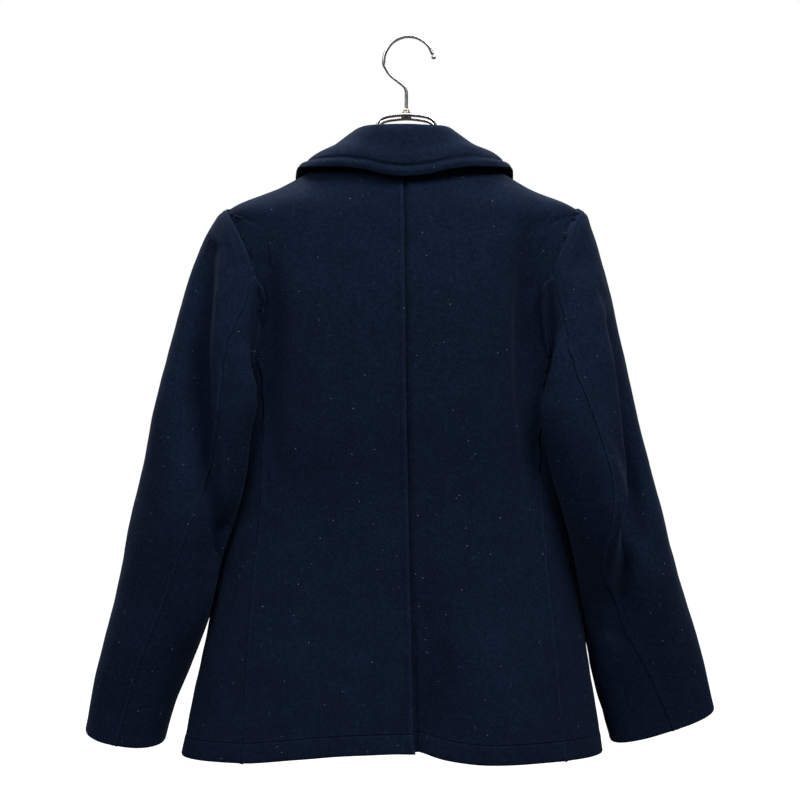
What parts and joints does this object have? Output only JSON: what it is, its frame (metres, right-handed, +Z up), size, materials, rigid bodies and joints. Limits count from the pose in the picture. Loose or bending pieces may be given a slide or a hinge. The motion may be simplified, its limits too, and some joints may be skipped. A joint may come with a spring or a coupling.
{
  "type": "pea coat on a wire hanger",
  "caption": "Short double-breasted wool coat with notched collar, lapels, set-in sleeves and a back vent, hanging open and empty on a steel wire hanger.",
  "frame": {"origin": "inside top of the hanger's hook, where it hangs on a rail", "axes": "+Z up, +X to the wearer's left, the coat's back faces +Y and its buttoned front -Y"},
  "size_m": [0.6953, 0.1885, 0.7918],
  "materials": {
    "wool": "matte",
    "horn": "satin",
    "steel": "polished",
    "brass": "plated"
  },
  "bodies": {
    "root": {"back_left": "wool", "back_right": "wool", "side_left": "wool", "side_right": "wool", "front_left": "wool", "front_right": "wool", "upper_sleeve_left": "wool", "upper_sleeve_right": "wool", "under_sleeve_left": "wool", "under_sleeve_right": "wool", "lapel_left": "wool", "lapel_right": "wool", "collar": "wool", "pocket_welt_left": "wool", "pocket_welt_right": "wool", "button_left_1": "horn", "button_left_2": "horn", "button_left_3": "horn", "button_right_1": "horn", "button_right_2": "horn", "button_right_3": "horn", "hanger_frame": "steel", "hanger_hook": "steel", "hook_ball": "steel", "hanger_bridge": "steel", "hook_nut": "brass"}
  },
  "joints": []
}
